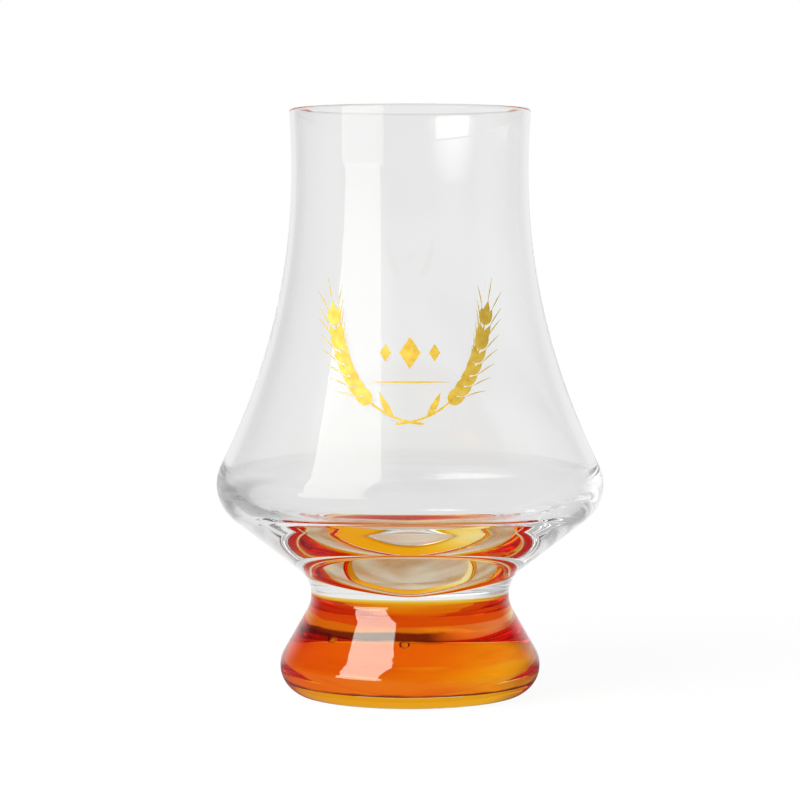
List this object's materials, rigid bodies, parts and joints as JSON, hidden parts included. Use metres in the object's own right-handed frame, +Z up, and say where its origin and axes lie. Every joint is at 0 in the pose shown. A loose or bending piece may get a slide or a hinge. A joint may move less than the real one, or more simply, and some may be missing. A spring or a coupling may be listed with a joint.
{
  "type": "whisky tasting glass",
  "caption": "Clear tulip-shaped whisky tasting glass with a slightly flared lip, a wide belly and a solid foot cased in amber.",
  "frame": {"origin": "middle of the ring that the glass rests on", "axes": "+Z up along the glass's axis, +Y away from the viewer of the picture, +X to the right"},
  "size_m": [0.076, 0.076, 0.1145],
  "materials": {
    "clear_glass": "clear, fire polished",
    "amber_glass": "clear amber, glossy",
    "gold_print": "fired gold print, satin"
  },
  "bodies": {
    "root": {"clear_glass_body": "clear_glass", "amber_foot_skin": "amber_glass"}
  },
  "joints": []
}
